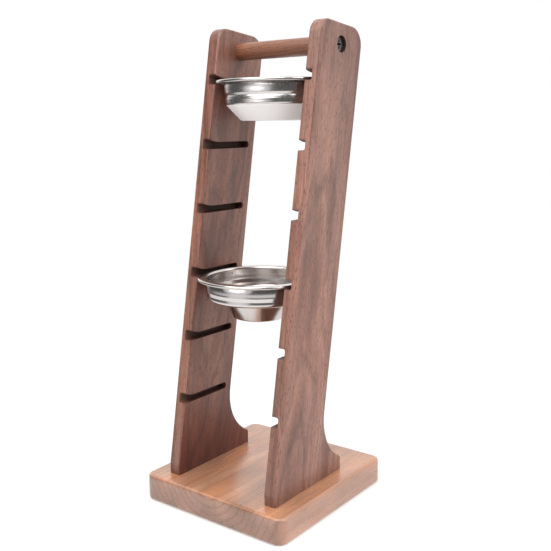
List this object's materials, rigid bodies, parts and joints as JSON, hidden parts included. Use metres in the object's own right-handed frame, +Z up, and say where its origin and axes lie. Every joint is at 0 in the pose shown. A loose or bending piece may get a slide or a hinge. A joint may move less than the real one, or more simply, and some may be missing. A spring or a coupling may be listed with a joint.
{
  "type": "portafilter basket holder",
  "caption": "Free-standing walnut rack: leaning grooved side boards on a base, a carrying rod on top, steel filter baskets held by their rims.",
  "frame": {"origin": "centre of the base's underside", "axes": "+Z up; the grooves open towards -Y and the boards lean back towards +Y; X runs from board to board"},
  "size_m": [0.1, 0.1026, 0.2695],
  "materials": {
    "base_walnut": "oiled satin",
    "board_walnut": "oiled satin",
    "rod_walnut": "oiled satin",
    "basket_steel": "polished stainless steel",
    "dark_screw": "burnished steel",
    "plated_screw": "zinc plated"
  },
  "bodies": {
    "root": {"base": "base_walnut", "left_board": "board_walnut", "right_board": "board_walnut", "handle_rod": "rod_walnut", "left_handle_screw": "dark_screw", "right_handle_screw": "dark_screw", "base_screw_left_front": "plated_screw", "base_screw_left_rear": "plated_screw", "base_screw_right_front": "plated_screw", "base_screw_right_rear": "plated_screw", "upper_basket": "basket_steel", "lower_basket": "basket_steel"}
  },
  "joints": []
}
